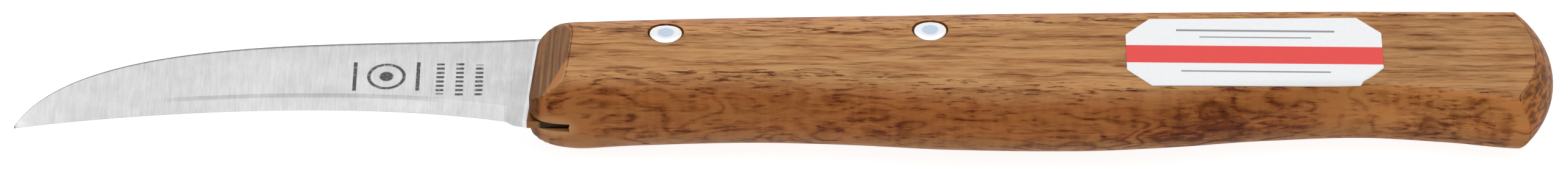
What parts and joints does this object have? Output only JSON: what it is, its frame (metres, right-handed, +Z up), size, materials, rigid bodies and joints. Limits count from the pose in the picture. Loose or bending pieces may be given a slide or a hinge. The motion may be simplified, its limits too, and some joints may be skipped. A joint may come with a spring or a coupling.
{
  "type": "chip carving knife",
  "caption": "Chip carving knife: a short curved beak blade with its tang riveted into a flat-sided, waisted beech handle with a domed butt.",
  "frame": {"origin": "centre of the bounding box's base: the middle of the floor under the knife as it lies on its side", "axes": "+X from the blade's tip to the butt, +Y from the cutting edge to the spine, +Z up across the thickness, towards the labelled side"},
  "size_m": [0.165, 0.0188, 0.0097],
  "materials": {
    "blade_steel": "satin ground steel with fine scratches across the blade",
    "handle_wood": "smooth beech under a thin clear finish",
    "rivet_metal": "polished, slightly domed ends",
    "label_paper": "smooth white paper sticker with a printed red band"
  },
  "bodies": {
    "root": {"blade": "blade_steel", "handle": "handle_wood", "front_rivet": "rivet_metal", "rear_rivet": "rivet_metal", "label": "label_paper"}
  },
  "joints": []
}
